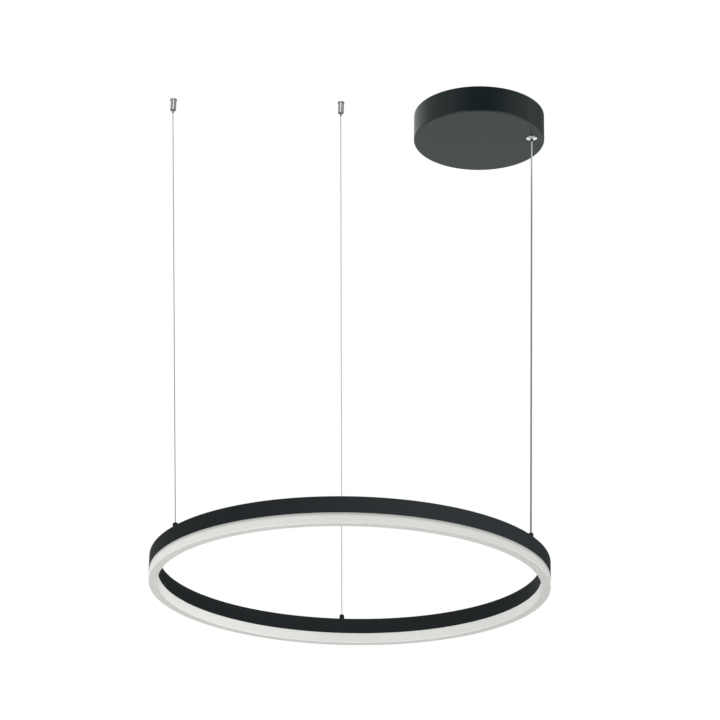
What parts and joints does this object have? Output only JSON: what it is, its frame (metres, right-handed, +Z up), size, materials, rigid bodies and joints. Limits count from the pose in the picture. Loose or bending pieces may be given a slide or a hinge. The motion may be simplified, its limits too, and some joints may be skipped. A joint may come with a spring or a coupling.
{
  "type": "ring pendant light",
  "caption": "Ring-shaped LED pendant: a black ring with an opal underside hangs level on thin wires and a power cable from small ceiling grips and a round canopy.",
  "frame": {"origin": "centre of the canopy on the ceiling plane", "axes": "+Z up, out of the ceiling plate; +X along the row of ceiling points, from the wire anchors to the canopy; -Y faces the viewer of the picture"},
  "size_m": [0.6036, 0.6, 0.81],
  "materials": {
    "canopy_paint": "satin anthracite powder coat",
    "ring_paint": "satin black powder coat",
    "opal": "satin opal acrylic, unlit",
    "chrome": "bright nickel plate on brass",
    "black_plate": "black-plated brass",
    "galvanised": "zinc-plated steel",
    "rope": "bare stranded steel rope",
    "cable": "clear jacket over a tinned braid",
    "steel": "plain steel",
    "aluminium": "mill finish",
    "brass": "plain brass",
    "white_plastic": "moulded, satin",
    "board": "solder mask",
    "strip": "white solder mask",
    "phosphor": "phosphor lens",
    "ferrite": "ferrite core and tape",
    "sleeve": "shrink sleeve",
    "lead": "PVC insulation",
    "earth_lead": "PVC insulation"
  },
  "bodies": {
    "ceiling_fixings": {"canopy_cover": "canopy_paint", "ceiling_plate": "galvanised", "cover_screws": "steel", "driver_board": "board", "driver_capacitors": "sleeve", "driver_case": "white_plastic", "driver_lid": "white_plastic", "driver_screws": "steel", "driver_terminals": "white_plastic", "driver_transformer": "ferrite", "earth_lead": "earth_lead", "earth_lug": "brass", "earth_nuts": "brass", "earth_stud": "brass", "left_anchor_barrel": "chrome", "left_anchor_base": "chrome", "left_anchor_plug": "brass", "left_anchor_spring": "steel", "left_wire_tail": "rope", "mains_leads": "lead", "outlet_body": "chrome", "outlet_nut": "brass", "outlet_plug": "brass", "outlet_spring": "steel", "output_connector": "white_plastic", "output_leads": "lead", "power_cable_tail": "cable", "rear_anchor_barrel": "chrome", "rear_anchor_base": "chrome", "rear_anchor_plug": "brass", "rear_anchor_spring": "steel", "rear_wire_tail": "rope", "terminal_block": "white_plastic", "terminal_clamp_screws": "steel", "terminal_screw": "steel"},
    "lines": {"left_wire": "rope", "rear_wire": "rope", "power_cable": "cable"},
    "ring": {"ring_profile": "ring_paint", "diffuser": "opal", "led_strip": "strip", "led_chips": "phosphor", "connector_caps": "ring_paint", "connector_studs": "brass", "wire_ball_ends": "steel", "cable_ball_end": "steel", "ring_joiner": "aluminium", "joiner_screws": "steel", "feed_leads": "lead"},
    "left_release": {"left_anchor_nipple": "chrome", "left_anchor_balls": "steel"},
    "rear_release": {"rear_anchor_nipple": "chrome", "rear_anchor_balls": "steel"},
    "outlet_release": {"outlet_nipple": "black_plate", "outlet_balls": "steel"}
  },
  "joints": [
    {"name": "swing", "type": "hinge", "parent": "ceiling_fixings", "child": "lines", "pos_m": [0, -0.019, -0.05], "axis": [1, 0, 0], "range_deg": [-15, 15]},
    {"name": "height_adjust", "type": "slide", "parent": "lines", "child": "ring", "axis": [0, 0, 1], "range_m": [0, 0.25], "deforming": ["left_wire", "rear_wire", "power_cable"]},
    {"name": "left_release_press", "type": "slide", "parent": "ceiling_fixings", "child": "left_release", "axis": [0, 0, 1], "range_m": [0, 0.002], "stiffness_N_per_m": 800, "springref_m": -0.002, "deforming": ["left_anchor_spring"]},
    {"name": "rear_release_press", "type": "slide", "parent": "ceiling_fixings", "child": "rear_release", "axis": [0, 0, 1], "range_m": [0, 0.002], "stiffness_N_per_m": 800, "springref_m": -0.002, "deforming": ["rear_anchor_spring"]},
    {"name": "outlet_release_press", "type": "slide", "parent": "ceiling_fixings", "child": "outlet_release", "axis": [0, 0, 1], "range_m": [0, 0.002], "stiffness_N_per_m": 800, "springref_m": -0.002, "deforming": ["outlet_spring"]}
  ]
}
